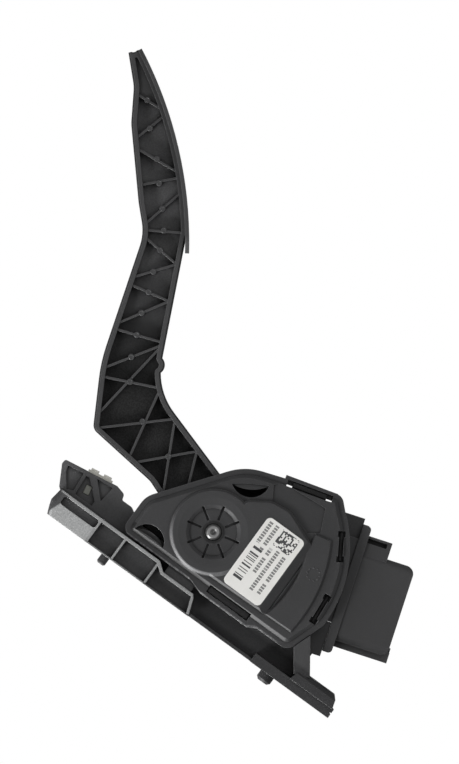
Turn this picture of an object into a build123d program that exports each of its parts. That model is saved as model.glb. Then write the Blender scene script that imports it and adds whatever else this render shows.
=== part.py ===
"""Suspended accelerator pedal with a position sensor and a kick-down button.

Frame: +X points into the bulkhead, +Z up, the cover side faces -Y. The origin
is on the mounting face. Millimetres.
"""

import os
from math import atan2, cos, degrees, pi, radians, sin

from build123d import *

os.makedirs("parts", exist_ok=True)

# Pivot, and the levels across the part from the cover side (-Y) to the far side
pivot_standoff = 41.5
pivot_drop = 16.0
arm_half = 12.0
tub_near = -15.0
tub_floor = 15.0
wall = 2.5
floor_wall = 3.0
cover_rim = 2.5
cover_panel = 3.0
panel_skin = 2.4
plateau_rise = 3.5
arc_panel_rise = 2.0
rail_half = 20.0

# Clearances
running_gap = 0.05
loose_gap = 0.3
seat_gap = 0.1

# Rail and its fixings
rail_low = -90.2
rail_high = 85.0
rail_height = 14.2
rail_step_height = 10.6
rail_skin = 1.2
rail_top_skin = 1.7
rail_low_skin = 0.8
rail_web = 3.0
rail_web_near = -11.0
rail_step_run = 4.6
recess_round = 1.4
rail_rib = 1.2
rail_end_round = 2.5
boss_height = 8.0
rail_ribs = (-64.6, -49.3, -29.0)
rail_step_end = -1.3
upper_rail_near = -8.0
bolt_side = -13.0
bolt_low = -77.0
bolt_high = 74.5
bolt_radius = 3.3
bolt_bush_radius = 5.0
bolt_bush_sink = 0.6
socket_radius = 6.6
lug_low = 58.0
lug_height = 11.5
lug_far = 8.0
lug_chamfer = 2.4
strip_height = 5.2
strip_low = 37.0
apron_low = -24.0
apron_high = -7.5
small_pin_radius = 2.4
small_pin_place = -52.4
large_pin_radius = 4.0
large_pin_place = 48.0
pin_length = 5.0

# Tub and cover, from the pivot
cover_low = 26.2
cover_left = -37.8
tub_inset = 5.0
panel_inset = 3.0
panel_chamfer = 1.6
plateau_chamfer = 1.1
hub_plateau_radius = 21.7
hub_cone_radius = 17.5
hub_lip_radius = 13.6
hub_dish = 0.4
hub_recess_radius = 12.0
hub_recess_depth = 2.8
hub_slots = 8
hub_slot_width = 1.2
hub_slot_turn = 13.0
hub_slot_depth = 1.4
hub_slot_reach = 2.0
label_length = 40.0
label_height = 22.6
label_thick = 0.2
label_corner = 2.5
label_middle = (-3.0, 29.1)
latch_hook_gap = 0.5
latch_foot = 8.0
latch_back = 1.5
mouth_gap = 2.0
crescent_depth = 1.4
far_rib_rise = 2.0
far_rib_count = 6

# Arm and pad, from the pivot
arm_step = 0.8
arm_core_half = 8.0
arm_rim = 2.1
arm_web = 2.4
rib_thick = 1.2
rib_drop = 0.6
tip_drop = 2.4
pad_half = 20.0
pad_thick = 2.0
pad_corner = 9.0
pad_cover = 1.0
hub_radius = 13.5

# Axle, bushes and sensor
axle_radius = 4.4
axle_near = -22.8
axle_far = 19.6
axle_chamfer = 1.5
axle_centre = 1.7
bush_wall = 0.75
bush_flange_thick = 1.0
bush_flange_radius = 7.0
boss_wall = 2.3
far_boss_radius = 9.0
far_boss_rise = 3.0
board_thick = 1.6
board_near = -17.0
board_hole_gap = 0.7
peg_width = 2.6
chip_height = 1.2
rotor_thick = 1.6
rotor_inner = 8.6
rotor_outer = 13.0

# Return springs, friction shoe and idle stop
spring_reach = 11.5
spring_length = 40.0
outer_coil = 6.0
outer_wire = 1.6
outer_turns = 6
inner_coil = 3.6
inner_wire = 1.1
inner_turns = 7
coil_steps = 8
cup_thick = 2.0
cup_radius = 6.8
tail_top = 11.7
tail_end = 17.4
tail_half = 7.5
shoe_thick = 3.5
shoe_half = 9.0
shoe_from = 88
shoe_to = 150
track_wall = 2.4
track_from = 81
track_to = 166
seat_wall = 2.5
stop_thick = 4.0
stop_half = 9.0

# Connector, in its own slanted frame: across it, and along the way the plug goes in
plug_lean = 18.0
plug_middle = (-16.75, 73.35)
plug_side = 4.0
shroud_half = 10.0
shroud_low = -20.5
shroud_high = 26.1
shroud_reach = 27.0
mouth_corner = 4.0
shroud_wall = 2.2
shroud_round = 4.5
socket_depth = 21.5
stem_low = -26.0
stem_high = 18.0
stem_reach = 15.0
flange_thick = 4.5
flange_low = -33.5
flange_high = 33.0
flange_corner = 2.0
shoulder_low = -36.4
plug_latch_low = -28.8
plug_latch_reach = 12.3
plug_latch_slot = 2.4
guide_high = 29.3
terminal_count = 6
terminal_pitch = 5.0
terminal_width = 1.5
terminal_thick = 0.8
terminal_tip = 17.0
terminal_foot = 20.0

# Kick-down button, in a frame on the bracket's slanted edge
kick_lean = 8.9
kick_middle = (-30.1, -78.0)
kick_side = 4.0
kick_length = 14.0
kick_width = 10.0
kick_depth = 14.0
kick_recess = 3.4
kick_stroke = 2.6
kick_wall = 1.6
kick_plate = 1.6
kick_ridge = 1.2
kick_coil = 2.2
kick_wire = 0.7
kick_turns = 4
bracket_near = -4.0
bracket_far = 12.0
bracket_panel = 2.0

pivot_x = -pivot_standoff
pivot_z = -pivot_drop
at_pivot = Pos(pivot_x, pivot_z)
bush_radius = axle_radius + running_gap + bush_wall
panel_near = tub_near - cover_rim - cover_panel
plateau_near = panel_near - plateau_rise
tub_far = tub_floor + floor_wall


# Outlines are drawn in X and Z, and slabs stand across the part in Y
def outline(points, radii):
    return make_face(FilletPolyline(*points, radius=radii, close=True))


def inset(face, amount):
    return offset(face, amount=-amount)


def slab(face, near, far):
    plane = Plane(origin=(0, far, 0), x_dir=(1, 0, 0), z_dir=(0, -1, 0))
    return extrude(plane * face, amount=far - near)


def block(x_span, y_span, z_span):
    size = [high - low for low, high in (x_span, y_span, z_span)]
    middle = [(high + low) / 2 for low, high in (x_span, y_span, z_span)]
    return Pos(*middle) * Box(*size)


def strip(start, end, width):
    run = Vector(*end) - Vector(*start)
    middle = Vector(*start) + run / 2
    turn = degrees(atan2(run.Y, run.X))
    return Pos(middle.X, middle.Y) * Rot(0, 0, turn) * Rectangle(run.length, width)


def sector(inner, outer, start, end):
    reach = 2 * outer
    corners = [(0, 0)]
    steps = 4
    for step in range(steps + 1):
        angle = radians(start + (end - start) * step / steps)
        corners.append((reach * cos(angle), reach * sin(angle)))
    ring = Circle(outer) - Circle(inner)
    return at_pivot * (ring & make_face(Polyline(*corners, close=True)))


def rod_x(radius, low, high, y, z):
    plane = Plane(origin=(low, y, z), x_dir=(0, 1, 0), z_dir=(1, 0, 0))
    return extrude(plane * Circle(radius), amount=high - low)


def disc(radius):
    return at_pivot * Circle(radius)


def coil(radius, wire, length, turns):
    steps = coil_steps * turns
    rise = (length - wire) / steps
    path = []
    for step in range(steps + 1):
        angle = 2 * pi * step / coil_steps
        path.append((radius * cos(angle), radius * sin(angle), wire / 2 + rise * step))
    run = Polyline(*path)
    start = Plane(origin=run @ 0, z_dir=run % 0)
    return sweep(start * RegularPolygon(wire / 2, 6), path=run, transition=Transition.RIGHT)


# Arm: each rib joins a station on the rear wall and one on the front wall, both from the pad's tip
rear_points = [
    (-168.9, -175.6), (-156.8, -163.4), (-141.0, -153.6), (-111.0, -127.1), (-100.0, -115.9),
    (-35.8, -95.7), (-6.1, -79.0), (-1.9, -40.5), (9.0, -12.0),
]
rear_radii = [20, 20, 30, 25, 80, 5, 12]
front_points = [(-41.0, -65.2), (-22.5, -5.5)]
front_radius = 33
bump_middle = (-50.3, -72.9)
bump_radius = 5.0
notch_middle = (-172.4, -175.2)
notch_radius = 2.4
pad_tip = (-174.4, -171.4)
pad_middle = (-143.5, -125.4)
pad_end = (-105.6, -92.0)
pad_joined = 0.90
rib_stations = [
    (19.9, 34.2), (44.6, 34.9), (47.2, 66.4), (67.1, 67.6), (87.8, 74.0), (89.4, 95.7), (91.7, 113.3),
    (114.7, 111.0), (117.1, 131.5), (139.4, 129.5), (140.8, 152.0), (162.4, 152.3), (165.7, 175.0),
    (187.0, 151.3), (192.2, 192.0), (215.7, 173.3), (217.6, 211.9), (241.9, 189.8), (257.0, 208.8),
]

# Outline of the cover, shared by the tub that it closes
cover_corners = [(-47.0, 47.5), (-52.7, 41.5), (-36.0, -6.5), (5.5, cover_left)]
cover_corner_radii = [5, 30, 12, 5, 6]
cover_top = (5.6, 72.0)
cover_side = (-22.8, 66.3)
foot_corner = 64.8


def cover_outline():
    foot = [(cover_low, cover_left), (cover_low, foot_corner)]
    run = FilletPolyline(*cover_corners, *foot, cover_top, radius=cover_corner_radii)
    side = ThreePointArc(cover_top, cover_side, cover_corners[0])
    return at_pivot * make_face(run + side)


# Latch windows in the cover: middle from the pivot, turn, length, width, reach of the foot, open ends
latches = [
    ((-45.0, 27.0), 105.6, 24.0, 3.4, -4.0, 3.0),
    ((-31.6, 55.9), 32.0, 15.6, 2.4, 0.0, -latch_back),
    ((-0.3, 65.9), 5.0, 16.3, 2.4, 0.0, -latch_back),
    ((24.2, 27.0), 90.0, 25.0, 4.2, 4.0, 0.0),
]
latch_bar = 1.8
frame_out = 2.5
frame_run = (5.5, 12.7, 41.3, 46.0)
window_end = 3.0
window_grow = 1.4


def latch_face(latch, grow_length, grow_width, shift=0.0):
    middle, turn, length, width = latch[:4]
    face = Pos(0, shift) * Rectangle(length + grow_length, width + grow_width)
    return at_pivot * Pos(*middle) * Rot(0, 0, turn) * face


# The windows of the closed latches are wider at both ends
def latch_window(latch):
    middle, turn, length, width, _, open_end = latch
    face = latch_face(latch, 0, 0)
    if open_end < 0:
        for side in (-1, 1):
            end = Pos(side * (length - window_end) / 2, 0) * Rectangle(window_end, width + window_grow)
            face += at_pivot * Pos(*middle) * Rot(0, 0, turn) * end
    return face


# A frame on the arm's front wall: along the wall up to the hub, and out from it
arm_front = Vector(*front_points[-1]) - Vector(*front_points[-2])
front_place = at_pivot * Pos(*front_points[-1]) * Rot(0, 0, degrees(atan2(arm_front.Y, arm_front.X)))


def front_face(along, out):
    low, high = along
    near, far = out
    return front_place * Pos((low + high) / 2, (near + far) / 2) * Rectangle(high - low, far - near)


# Where the arm swings through the tub's wall
def mouth_face():
    swing = make_face(Polyline((-30, 6), (-60, -60), (22, -70), (15.5, -22), close=True))
    return at_pivot * swing - front_face((-90, 20), (stop_thick, 60))


# Plug frame
plug_place = at_pivot * Pos(*plug_middle) * Rot(0, 0, plug_lean)
plug_start = plug_place.position
plug_mouth = Plane(
    origin=(plug_start.X, plug_side, plug_start.Y),
    x_dir=(cos(radians(plug_lean)), 0, sin(radians(plug_lean))),
    z_dir=(-sin(radians(plug_lean)), 0, cos(radians(plug_lean))),
)
plug_near = plug_side - shroud_half
plug_far = plug_side + shroud_half


def plug_box(across, along, near, far):
    low, high = across
    start, end = along
    face = Pos((low + high) / 2, (start + end) / 2) * Rectangle(high - low, end - start)
    return slab(plug_place * face, near, far)


# Kick-down frame: across the button, and down into the bracket
kick_place = Pos(*kick_middle) * Rot(0, 0, kick_lean)


def kick_box(down, across, half_width):
    top, bottom = down
    face = Pos((top + bottom) / 2, 0) * Rectangle(bottom - top, across)
    return slab(kick_place * face, kick_side - half_width, kick_side + half_width)


def mounting_rail():
    side_points = [
        (0, rail_low + 1.7),
        (-4.1, rail_low),
        (-7.3, rail_low - 1.0),
        (-rail_height, rail_low),
        (-rail_height, rail_ribs[2]),
        (-rail_step_height, rail_ribs[2] + rail_step_run),
        (-rail_step_height, rail_step_end - 4.6),
        (-rail_step_height + 1.7, rail_step_end - 3.2),
        (0, rail_step_end),
    ]
    rail = slab(make_face(Polyline(*side_points, close=True)), -rail_half, rail_half)
    ends = rail.edges().filter_by_position(Axis.Z, rail_low - 1.1, rail_low + 1.8)
    rail = fillet(ends.filter_by_position(Axis.Y, -rail_half, -rail_half), rail_end_round)
    pocket_top = -rail_height + rail_top_skin
    step_top = -rail_step_height + rail_top_skin
    half_rib = rail_rib / 2
    # Recess over the bolt boss at the end, then bays divided by ribs
    start = rail_low + rail_end_round + rail_skin
    end = rail_ribs[0] - half_rib
    recess = outline([(pocket_top, start), (-boss_height, start), (-boss_height, end), (pocket_top, end)],
                     recess_round)
    rail -= slab(recess, -rail_half, -rail_web / 2)
    rail -= slab(recess, rail_web / 2, rail_half)
    bays = Sketch()
    for low, high in zip(rail_ribs[:2], rail_ribs[1:]):
        bay = Rectangle(-rail_low_skin - pocket_top, high - low - rail_rib)
        bays += Pos((pocket_top - rail_low_skin) / 2, (low + high) / 2) * bay
    # The last bay runs up under the slant of the rail's top
    step = rail_height - rail_step_height
    slant = rail_top_skin * (rail_step_run**2 + step**2) ** 0.5 / rail_step_run
    bays += make_face(Polyline(
        (-rail_low_skin, rail_ribs[2] + half_rib),
        (-rail_height + slant + step * half_rib / rail_step_run, rail_ribs[2] + half_rib),
        (step_top, rail_ribs[2] + rail_step_run * (step_top + rail_height - slant) / step),
        (step_top, rail_step_end - 4.8),
        (-rail_low_skin, rail_step_end - 1.8), close=True))
    rail -= slab(bays, -rail_half, rail_web_near)
    rail -= slab(bays, rail_web_near + rail_web, rail_half)
    return rail


def upper_rail():
    plate = block((-rail_skin - 0.5, 0), (upper_rail_near, rail_half), (rail_step_end - 3, rail_high - 1.0))
    ledge = block((-strip_height, 0), (-rail_half + 1.5, lug_far), (strip_low, rail_high))
    lug_side = [
        (-strip_height + 0.4, lug_low),
        (-lug_height, lug_low + 2.0),
        (-lug_height, rail_high - 4.0),
        (-lug_height + 2.0, rail_high - 2.2),
        (-strip_height + 0.4, rail_high - 0.8),
    ]
    lug = slab(make_face(Polyline(*lug_side, close=True)), -rail_half, lug_far)
    lug_top = lug.edges().filter_by(Axis.Z).filter_by_position(Axis.X, -lug_height, -lug_height)
    lug = chamfer(lug_top.sort_by(Axis.Y)[0], lug_chamfer)
    lip = block((-strip_height / 2 - 0.4, -strip_height / 2 + 0.4), (-rail_half, rail_half),
                (rail_high - 0.8, rail_high + 1))
    tub_low = pivot_x + cover_low - tub_inset
    web = block((tub_low - wall, -rail_skin), (-rail_web, 0), (pivot_z - 30, lug_low + 2))
    apron = block((tub_low - wall, -rail_step_height + rail_skin),
                  (tub_near + loose_gap, tub_near + loose_gap + rail_web), (apron_low, apron_high))
    body = plate + ledge + lug + web + apron - lip
    for place in (-38.0, -12.0, 14.0, 40.0):
        body += block((tub_low - wall, -rail_skin), (-rail_web / 2, tub_floor), (place, place + rail_rib))
    return body


def tub():
    outer = inset(cover_outline(), tub_inset)
    inner = inset(cover_outline(), tub_inset + wall)
    shell = slab(outer, tub_near, tub_far) - slab(inner, tub_near, tub_floor)
    shell -= slab(mouth_face(), tub_near, tub_floor - mouth_gap)
    gap = loose_gap
    shell -= plug_box((stem_low - gap, stem_high + gap), (-stem_reach - 6, flange_thick),
                      plug_near - gap, plug_far + gap)
    return shell


def far_ribs():
    outer = inset(cover_outline(), tub_inset)
    spokes = Sketch()
    reach = 2 * cover_side[1]
    for number in range(far_rib_count):
        turn = Rot(0, 0, 30 + 360 * number / far_rib_count)
        spokes += turn * Pos(reach / 2, 0) * Rectangle(reach, rib_thick)
    ring = Circle(hub_cone_radius) - Circle(hub_cone_radius - rib_thick)
    return (outer - inset(outer, rib_thick)) + (outer & (at_pivot * (spokes + ring)))


def latch_hooks():
    hooks = []
    for latch in latches:
        reach, open_end = latch[4:]
        head = latch_face(latch, -2 * max(open_end, latch_hook_gap), -2 * latch_hook_gap)
        hooks.append(slab(head, tub_near - cover_rim / 2, tub_near + latch_foot))
        foot = latch_face(latch, -2 * open_end, max(abs(reach), 2 * latch_back), reach / 2)
        hooks.append(slab(foot, tub_near + loose_gap, tub_near + latch_foot))
    return hooks


bracket_points = [
    (-rail_height + 1, rail_low), (-14.4, -91.8), (-24.7, -97.5), (-27.0, -97.2), (-31.5, -68.3),
    (-30.2, -63.1), (-27.2, -62.2), (-27.2, -56.2), (-22.0, -47.0), (-rail_height + 1, -44.0),
]
bracket_radii = [0, 2, 2, 1, 2, 2, 1, 3, 0, 0]
bracket_panels = [
    [(-15.5, -88.0), (-22.5, -93.3), (-25.6, -94.3), (-26.8, -85.6), (-17.0, -84.8)],
    [(-16.0, -83.0), (-26.6, -83.8), (-26.9, -82.0), (-18.6, -73.0), (-16.0, -73.0)],
    [(-28.6, -78.5), (-29.4, -69.6), (-20.6, -70.6)],
]
barb_middle = (-21.3, -79.2)
barb_length = 4.4
barb_width = 3.0


def barb_face(grow):
    return Pos(*barb_middle) * Rot(0, 0, kick_lean) * Rectangle(barb_length + grow, barb_width + grow)


def kick_bracket():
    body = slab(outline(bracket_points, bracket_radii), bracket_near, bracket_far)
    for points in bracket_panels:
        face = make_face(Polyline(*points, close=True))
        body -= slab(face, bracket_near, bracket_near + bracket_panel)
    body -= kick_box((-5, kick_depth + seat_gap), kick_length + 2 * seat_gap, kick_width / 2 + seat_gap)
    return body - slab(barb_face(2 * loose_gap), bracket_near, kick_side)


strut_points = [
    (-32.0, 46.0), (-24.0, 46.5), (-8.0, lug_low), (-lug_height + 0.5, lug_low + 8.0), (-29.0, 53.2),
]
shelf_high = 36.0


def strut():
    bar = slab(make_face(Polyline(*strut_points, close=True)), -rail_half + 1.0, lug_far)
    bar -= slab(inset(cover_outline(), -loose_gap), -rail_half, tub_near)
    shelf = plug_box((stem_high + loose_gap, shelf_high), (-stem_reach, -flange_thick - loose_gap),
                     plug_near, lug_far)
    return bar + shelf


def base_housing():
    body = mounting_rail() + upper_rail() + tub() + latch_hooks()
    body += slab(disc(far_boss_radius), arm_half + bush_flange_thick, tub_far + far_boss_rise)
    body += slab(far_ribs(), tub_far, tub_far + far_rib_rise)
    body += slab(front_face((-5.5, 1.5), (stop_thick, stop_thick + wall)), -stop_half, stop_half)
    body += slab(sector(hub_radius + shoe_thick + running_gap, hub_radius + shoe_thick + track_wall,
                        track_from, track_to), -shoe_half - 1, tub_floor)
    spring_x = pivot_x + spring_reach
    seat_z = pivot_z + tail_top + cup_thick + spring_length
    tub_low = pivot_x + cover_low - tub_inset
    body += block((spring_x - cup_radius, tub_low - 1), (-cup_radius - 1, tub_floor),
                  (seat_z, seat_z + seat_wall))
    body += kick_bracket()
    body += strut()
    for place, radius in ((small_pin_place, small_pin_radius), (large_pin_place, large_pin_radius)):
        pin = rod_x(radius, -rail_skin, pin_length, 0, place)
        tip = pin.faces().sort_by(Axis.X)[-1]
        body += chamfer(tip.edges(), radius / 3)
    # Bolt holes for the steel bushes, with room for a socket above the lower one
    body -= rod_x(bolt_bush_radius, -boss_height, 1, bolt_side, bolt_low)
    body -= rod_x(socket_radius, -rail_height - 2, -boss_height, bolt_side, bolt_low)
    body -= rod_x(bolt_bush_radius, -lug_height - 1, 1, bolt_side, bolt_high)
    body -= slab(disc(bush_radius), arm_half, axle_far + loose_gap)
    return body


def mounting_bushes():
    bushes = []
    for place, height in ((bolt_low, boss_height), (bolt_high, lug_height - bolt_bush_sink)):
        tube = rod_x(bolt_bush_radius, -height, 0, bolt_side, place)
        bushes.append(tube - rod_x(bolt_radius, -height - 1, 1, bolt_side, place))
    return bushes


plateau_points = [
    (-13.0, 4.0), (-22.5, 3.5), (-29.8, 14.5), (-31.2, 25.0), (-24.0, 43.0),
    (-18.5, 48.0), (18.0, 48.0), (18.8, 6.0), (0.0, 0.0),
]
plateau_radii = [0, 4, 10, 10, 5, 5, 4, 0, 0]


slope_start = 41.0
slope_end = 47.4
slope_x = (-32.0, 20.0)


# Wedge off the plateau, down to the panel around it
def plateau_slope():
    top = plateau_near - 1
    start = pivot_z + slope_start
    end = pivot_z + slope_end
    corners = [(top, start), (plateau_near, start), (panel_near, end), (panel_near, end + 2), (top, end + 2)]
    plane = Plane(origin=(pivot_x + slope_x[0], 0, 0), x_dir=(0, 1, 0), z_dir=(1, 0, 0))
    return extrude(plane * make_face(Polyline(*corners, close=True)), amount=slope_x[1] - slope_x[0])


def plateau_face():
    return at_pivot * (outline(plateau_points, plateau_radii) + Circle(hub_plateau_radius))


arc_inner = [(-18.1, 43.8), (0.4, 47.7), (18.0, 45.0)]
arc_ends = [(-31.3, 50.4), (-29.4, 41.7), (17.6, 60.8)]
arc_side = (-8.5, 59.6)


def arc_panel_face():
    edge = Polyline(*arc_ends[:2], arc_inner[0]) + ThreePointArc(*arc_inner)
    edge += Line(arc_inner[2], arc_ends[2])
    edge += ThreePointArc(arc_ends[2], arc_side, arc_ends[0])
    return at_pivot * make_face(edge)


crescents = [
    ((21.5, -32.7), (14.7, -24.2), (18.3, -24.2), (20.6, -24.2), (21.3, -15.6)),
    ((-25.0, -6.6), (-24.2, 3.5), (-27.2, 1.0), (-29.8, 0.0), (-35.0, 9.2)),
]


def crescent(start, outer, end, inner):
    return at_pivot * make_face(ThreePointArc(start, outer, end) + ThreePointArc(end, inner, start))


field_points = [
    (-37.0, 10.5), (-29.6, 15.0), (-31.4, 25.0), (-27.4, 38.5), (-31.2, 43.5), (-42.5, 38.4), (-40.6, 14.5),
]
field_depth = 1.2


def side_cover():
    rim = cover_outline()
    rim += latch_face(latches[0], 2 * latch_bar, 2 * latch_bar)
    first, start, end, last = frame_run
    frame = Polyline((cover_low - 1, first), (cover_low, first), (cover_low + frame_out, start),
                     (cover_low + frame_out, end), (cover_low, last), (cover_low - 1, last), close=True)
    rim += at_pivot * make_face(frame)
    panel = inset(cover_outline(), panel_inset)
    body = slab(rim, tub_near - cover_rim, tub_near)
    raised = slab(panel, panel_near, tub_near - cover_rim)
    body += chamfer(raised.faces().sort_by(Axis.Y)[0].edges(), panel_chamfer)
    hollow_near = panel_near + panel_skin
    body -= slab(inset(cover_outline(), tub_inset + wall + loose_gap), hollow_near, tub_near)
    plateau = plateau_face()
    top = slab(plateau, plateau_near, hollow_near)
    body += chamfer(top.faces().sort_by(Axis.Y)[0].edges(), plateau_chamfer) - plateau_slope()
    arc = arc_panel_face()
    arc_near = panel_near - arc_panel_rise
    arc_top = slab(arc, arc_near, hollow_near)
    body += chamfer(arc_top.faces().sort_by(Axis.Y)[0].edges(), 0.7)
    body -= slab(inset(plateau, panel_skin), plateau_near + panel_skin, tub_near)
    body -= slab(inset(arc, panel_skin), arc_near + panel_skin, tub_near)
    # Sunk field above the plateau
    field_face = at_pivot * make_face(Polyline(*field_points, close=True))
    body -= slab(field_face - plateau, panel_near, panel_near + field_depth)
    # Crescent slots beside the hub, and the latch windows
    for start, hub_side, slot_side, outer_side, end in crescents:
        body -= slab(crescent(start, hub_side, end, outer_side), panel_near, panel_near + crescent_depth)
        body -= slab(crescent(start, hub_side, end, slot_side), panel_near, tub_near)
    for latch in latches:
        body -= slab(latch_window(latch), panel_near - 5, tub_near)
    # Round hub: cone, recess, bearing boss and radial slots
    recess_floor = plateau_near + hub_recess_depth
    boss_radius = bush_radius + boss_wall
    body += slab(disc(hub_cone_radius + 1), plateau_near, recess_floor + panel_skin)
    body += slab(disc(boss_radius), recess_floor, -arm_half - rotor_thick)
    cone_top = Plane(origin=(pivot_x, plateau_near, pivot_z), x_dir=(1, 0, 0), z_dir=(0, 1, 0))
    lip_top = cone_top.offset(hub_dish)
    lip_low = cone_top.offset(hub_recess_depth - 1.2)
    body -= loft([cone_top * Circle(hub_cone_radius), lip_top * Circle(hub_lip_radius)])
    body -= loft([lip_top * Circle(hub_lip_radius), lip_low * Circle(hub_recess_radius)])
    body -= slab(disc(hub_recess_radius), plateau_near, recess_floor)
    slot_start = bush_radius + boss_wall / 2
    slot_end = hub_recess_radius + hub_slot_reach
    for number in range(hub_slots):
        turn = Rot(0, 0, hub_slot_turn + 360 * number / hub_slots)
        slot = turn * Pos((slot_start + slot_end) / 2, 0) * Rectangle(slot_end - slot_start, hub_slot_width)
        body -= slab(at_pivot * slot, plateau_near, recess_floor + hub_slot_depth)
    body -= slab(disc(bush_radius), plateau_near, -arm_half)
    for place in board_pegs:
        peg = at_pivot * Pos(*place) * Rectangle(peg_width, peg_width)
        body += slab(peg, plateau_near + panel_skin, board_near + board_thick)
    return body


def pad_line(depth, share=1.0):
    arc = ThreePointArc(pad_tip, pad_middle, pad_end)
    middle = arc.arc_center
    scale = 1 - depth / arc.radius
    places = [middle + ((arc @ (share * part)) - middle) * scale for part in (0, 0.5, 1)]
    return ThreePointArc(*places)


def arm_walls():
    rear = FilletPolyline(*rear_points, radius=rear_radii)
    along_pad = pad_line(pad_cover, pad_joined)
    front = FilletPolyline(along_pad @ 1, *front_points, radius=front_radius)
    return rear, along_pad, front


def arm_outline():
    rear, along_pad, front = arm_walls()
    hub_side = Polyline(rear @ 1, (9.0, 4.0), (-12.0, 4.0), front @ 1)
    side = make_face(rear + hub_side + front + along_pad + Line(along_pad @ 0, rear @ 0))
    side += Pos(*bump_middle) * Circle(bump_radius)
    return side - Pos(*notch_middle) * Circle(notch_radius)


def foot_pad():
    front = pad_line(0)
    rear = pad_line(pad_thick)
    edge = front + rear + Line(front @ 0, rear @ 0) + Line(front @ 1, rear @ 1)
    plate = slab(at_pivot * make_face(edge), -pad_half, pad_half)
    corners = [e for e in plate.edges() if abs(e.length - pad_thick) < 0.01]
    return fillet(corners, pad_corner)


# A place on a wall made of several runs, so far from the tip
def station(runs, distance):
    for run in runs[:-1]:
        if distance <= run.length:
            return run @ (distance / run.length)
        distance -= run.length
    return runs[-1] @ (distance / runs[-1].length)


def pedal_arm():
    side = arm_outline()
    rim = inset(side, arm_step)
    bay = inset(side, arm_step + arm_rim) - Circle(hub_radius)
    body = slab(at_pivot * side, -arm_core_half, arm_core_half) + slab(at_pivot * rim, -arm_half, arm_half)
    body -= slab(at_pivot * bay, -arm_half - 1, -arm_web / 2)
    body -= slab(at_pivot * bay, arm_web / 2, arm_half + 1)
    rear, *front = arm_walls()
    ends = [(station([rear], low), station(front, high)) for low, high in rib_stations]
    ribs = [strip((start.X, start.Y), (end.X, end.Y), rib_thick) for start, end in ends]
    within = inset(side, arm_step + arm_rim / 2)
    body += slab(at_pivot * (within & (Sketch() + ribs)), -arm_half + rib_drop, arm_half - rib_drop)
    tip_face = make_face(Polyline(*ends[0], front[0] @ 0, rear @ 0, close=True))
    body += slab(at_pivot * (within & tip_face), -arm_half + tip_drop, arm_half - tip_drop)
    body += slab(disc(hub_radius), -arm_half, arm_half)
    tail = make_face(Polyline((2, -6), (tail_end, 5), (tail_end, tail_top), (0, tail_top), close=True))
    body += slab(at_pivot * tail, -tail_half, tail_half)
    body += foot_pad()
    body -= spring_cup()
    body -= slab(disc(axle_radius), -arm_half, arm_half)
    return body


def pivot_axle():
    rod = slab(disc(axle_radius), axle_near, axle_far)
    near_edge = rod.edges().filter_by(GeomType.CIRCLE).sort_by(Axis.Y)[0]
    rod = chamfer(near_edge, axle_chamfer)
    end = Plane(origin=(pivot_x, axle_near, pivot_z), x_dir=(1, 0, 0), z_dir=(0, 1, 0))
    return rod - loft([end * Circle(axle_centre), end.offset(axle_centre) * Circle(axle_centre / 6)])


def near_bush():
    tube = slab(disc(bush_radius), plateau_near + hub_recess_depth - 0.8, -arm_half - bush_flange_thick)
    flange = slab(disc(bush_flange_radius), -arm_half - rotor_thick, -arm_half - loose_gap)
    return tube + flange - slab(disc(axle_radius + running_gap), plateau_near, 0)


def far_bush():
    tube = slab(disc(bush_radius), arm_half + loose_gap, axle_far)
    return tube - slab(disc(axle_radius + running_gap), 0, tub_far + 5)


def sensor_rotor():
    ring = Circle(rotor_outer) - Circle(rotor_inner)
    lobes = Sketch()
    for number in range(3):
        lobes += Rot(0, 0, 120 * number) * Pos(rotor_outer, 0) * Rectangle(6.0, 7.0)
    face = ring + (lobes & Circle(rotor_outer + 3))
    return slab(at_pivot * face, -arm_half - rotor_thick, -arm_half)


board_pegs = [(-24.0, 18.0), (12.5, 39.5)]


def terminal_places():
    first = -terminal_pitch * (terminal_count - 1) / 2
    return [first + terminal_pitch * number for number in range(terminal_count)]


board_points = [(-16.0, 0.0), (-26.0, 15.0), (-25.5, 52.0), (4.5, 61.0), (15.0, 58.0), (15.0, 0.0)]


def board_face():
    body = make_face(Polyline(*board_points, close=True)) + Circle(hub_plateau_radius - panel_skin - 1.5)
    body -= Circle(bush_radius + boss_wall + board_hole_gap)
    hole = Rectangle(peg_width + 2 * seat_gap, peg_width + 2 * seat_gap)
    for place in board_pegs:
        body -= Pos(*place) * hole
    return at_pivot * body


def sensor_board():
    board = slab(board_face(), board_near, board_near + board_thick)
    half = terminal_width / 2 + seat_gap
    for place in terminal_places():
        board -= plug_box((place - half, place + half),
                          (-terminal_foot - seat_gap, -terminal_foot + terminal_thick + seat_gap),
                          board_near - 1, board_near + board_thick + 1)
    return board


chip_places = [(-8.0, 30.0), (4.0, 30.0), (-8.0, 20.5)]
chip_sizes = [(9.0, 7.0), (5.0, 6.0), (4.0, 3.0)]


def board_chips():
    chips = []
    for place, size in zip(chip_places, chip_sizes):
        face = at_pivot * Pos(*place) * Rectangle(*size)
        chips.append(slab(face, board_near - chip_height, board_near))
    return chips


def terminal_pins():
    pins = []
    half = terminal_width / 2
    half_thick = terminal_thick / 2
    for place in terminal_places():
        across = (place - half, place + half)
        blade = plug_box(across, (-terminal_foot, terminal_tip),
                         plug_side - half_thick, plug_side + half_thick)
        foot = plug_box(across, (-terminal_foot, -terminal_foot + terminal_thick),
                        board_near - 0.5, plug_side + half_thick)
        pins.append(blade + foot)
    return pins


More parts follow.
